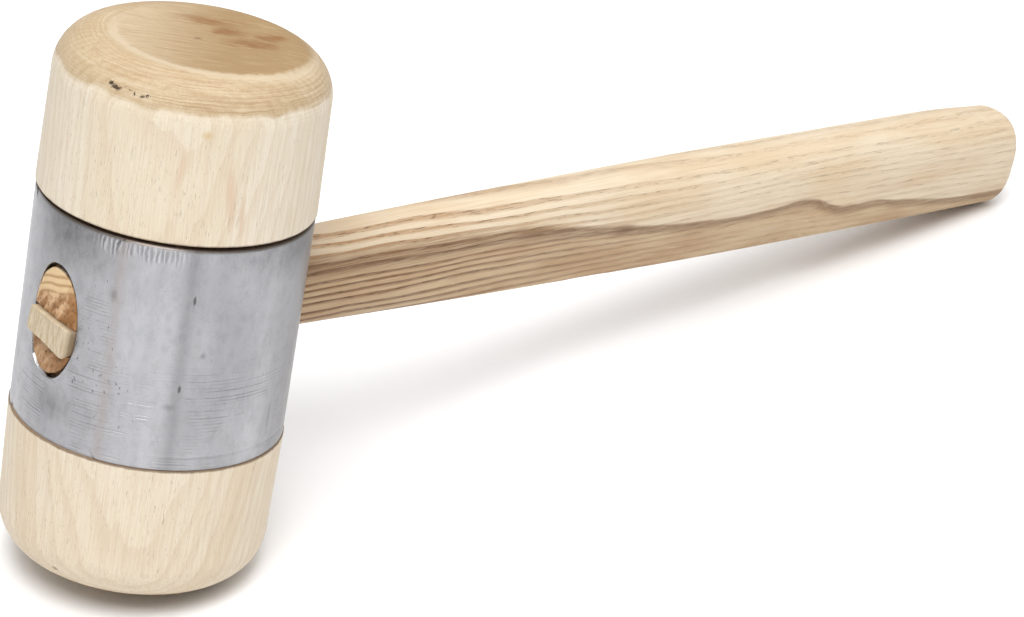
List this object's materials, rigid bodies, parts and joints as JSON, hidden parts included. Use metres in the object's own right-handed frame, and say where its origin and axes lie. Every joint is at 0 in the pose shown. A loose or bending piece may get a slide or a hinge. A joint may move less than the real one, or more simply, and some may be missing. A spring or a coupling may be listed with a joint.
{
  "type": "wooden mallet",
  "caption": "Carpenter's mallet with a round wooden head, a steel sleeve round its middle and an oval ash handle wedged through it.",
  "frame": {"origin": "centre of the lower striking face", "axes": "+Z along the head's axis to the upper striking face, +X along the handle to the end of the grip"},
  "size_m": [0.3823, 0.0706, 0.141],
  "materials": {
    "face_wood": "bare turned pale hardwood, lightly stained ends",
    "sleeve_steel": "turned mild steel with fine ring marks",
    "handle_wood": "bare ash with strong open grain",
    "wedge_wood": "bare split hardwood"
  },
  "bodies": {
    "root": {"lower_face": "face_wood", "upper_face": "face_wood", "steel_sleeve": "sleeve_steel", "handle": "handle_wood", "wedge": "wedge_wood"}
  },
  "joints": []
}
